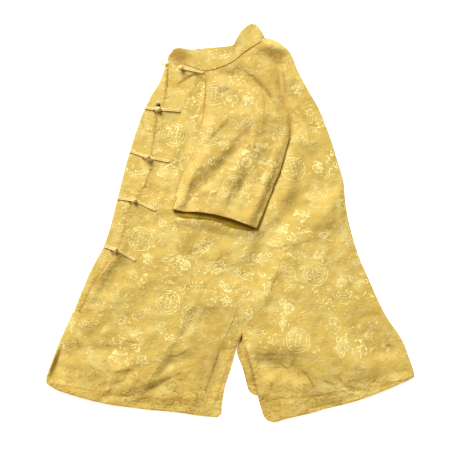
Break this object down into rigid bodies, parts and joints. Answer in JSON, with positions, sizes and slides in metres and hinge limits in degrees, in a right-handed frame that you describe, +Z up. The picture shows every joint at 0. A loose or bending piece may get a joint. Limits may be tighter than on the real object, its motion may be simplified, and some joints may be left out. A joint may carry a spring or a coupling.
{
  "type": "mandarin collar shirt",
  "caption": "Short-sleeved silk brocade shirt with a stand collar, raglan sleeves, corded frog closures and side slits, laid flat on its side.",
  "frame": {"origin": "on the surface that the shirt lies on, under the middle of its outline", "axes": "+X from the front edge towards the middle of the back, +Y from hem towards collar, +Z up off the surface"},
  "size_m": [0.6546, 0.7098, 0.0184],
  "materials": {
    "brocade": "golden yellow silk brocade, satin figure on a matt ground",
    "collar_brocade": "the same brocade over interlining, satin figure on a matt ground",
    "cord": "rolled bias silk cord, soft sheen"
  },
  "bodies": {
    "root": {"back": "brocade", "front_left": "brocade", "front_right": "brocade", "sleeve_left": "brocade", "sleeve_right": "brocade", "collar": "collar_brocade", "frog_knot_1": "cord", "frog_loop_1": "cord", "frog_knot_2": "cord", "frog_loop_2": "cord", "frog_knot_3": "cord", "frog_loop_3": "cord", "frog_knot_4": "cord", "frog_loop_4": "cord", "frog_knot_5": "cord", "frog_loop_5": "cord"}
  },
  "joints": []
}
